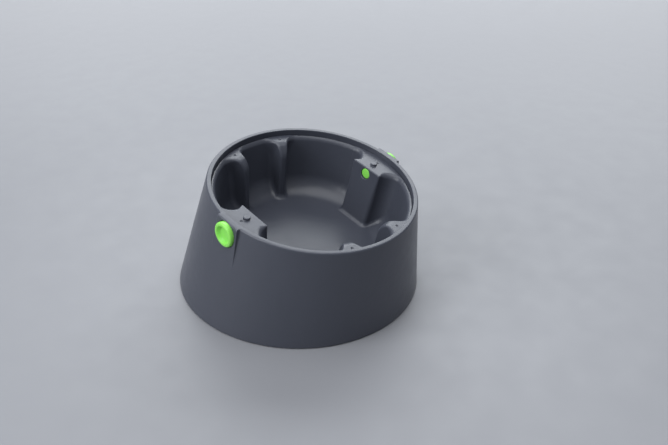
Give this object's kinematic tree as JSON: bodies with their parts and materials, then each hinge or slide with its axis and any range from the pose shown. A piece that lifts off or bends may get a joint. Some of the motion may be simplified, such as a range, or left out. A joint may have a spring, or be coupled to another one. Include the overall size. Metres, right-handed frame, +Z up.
{
  "type": "pet feeder bowl base",
  "caption": "Tilted round pet feeder bowl base with a recessed ledge, wall ribs, locating pegs and two sprung push-to-release buttons that drive pins into the bowl.",
  "frame": {"origin": "centre of the round footprint, on the plane that the four feet stand on", "axes": "+Z up, -Y towards the low side of the tilted rim, where the pet eats, +Y towards the high side, +X and -X through the two buttons"},
  "size_m": [0.191, 0.191, 0.1001],
  "materials": {
    "grey_plastic": "satin moulded polypropylene, slate grey",
    "dark_plastic": "fine textured moulded polypropylene, dark grey",
    "green_plastic": "smooth satin moulded plastic, bright green",
    "rubber": "matt black rubber",
    "spring_steel": "drawn spring wire",
    "screw_steel": "zinc plated steel"
  },
  "bodies": {
    "bowl_base": {"outer_shell": "grey_plastic", "bowl_liner": "grey_plastic", "base_plate": "dark_plastic", "base_gasket": "rubber", "return_spring_left": "spring_steel", "stem_seal_left": "rubber", "return_spring_right": "spring_steel", "stem_seal_right": "rubber", "foot_front_left": "rubber", "base_screw_front_left": "screw_steel", "foot_front_right": "rubber", "base_screw_front_right": "screw_steel", "foot_rear_left": "rubber", "base_screw_rear_left": "screw_steel", "foot_rear_right": "rubber", "base_screw_rear_right": "screw_steel"},
    "button_left": {"button_cap_left": "green_plastic", "pin_stem_left": "green_plastic", "pin_tip_left": "green_plastic"},
    "button_right": {"button_cap_right": "green_plastic", "pin_stem_right": "green_plastic", "pin_tip_right": "green_plastic"}
  },
  "joints": [
    {"name": "press_left", "type": "slide", "parent": "bowl_base", "child": "button_left", "axis": [1, 0, 0], "range_m": [0, 0.003], "stiffness_N_per_m": 600, "springref_m": -0.002, "deforming": ["return_spring_left"]},
    {"name": "press_right", "type": "slide", "parent": "bowl_base", "child": "button_right", "axis": [-1, 0, 0], "range_m": [0, 0.003], "stiffness_N_per_m": 600, "springref_m": -0.002, "deforming": ["return_spring_right"]}
  ]
}
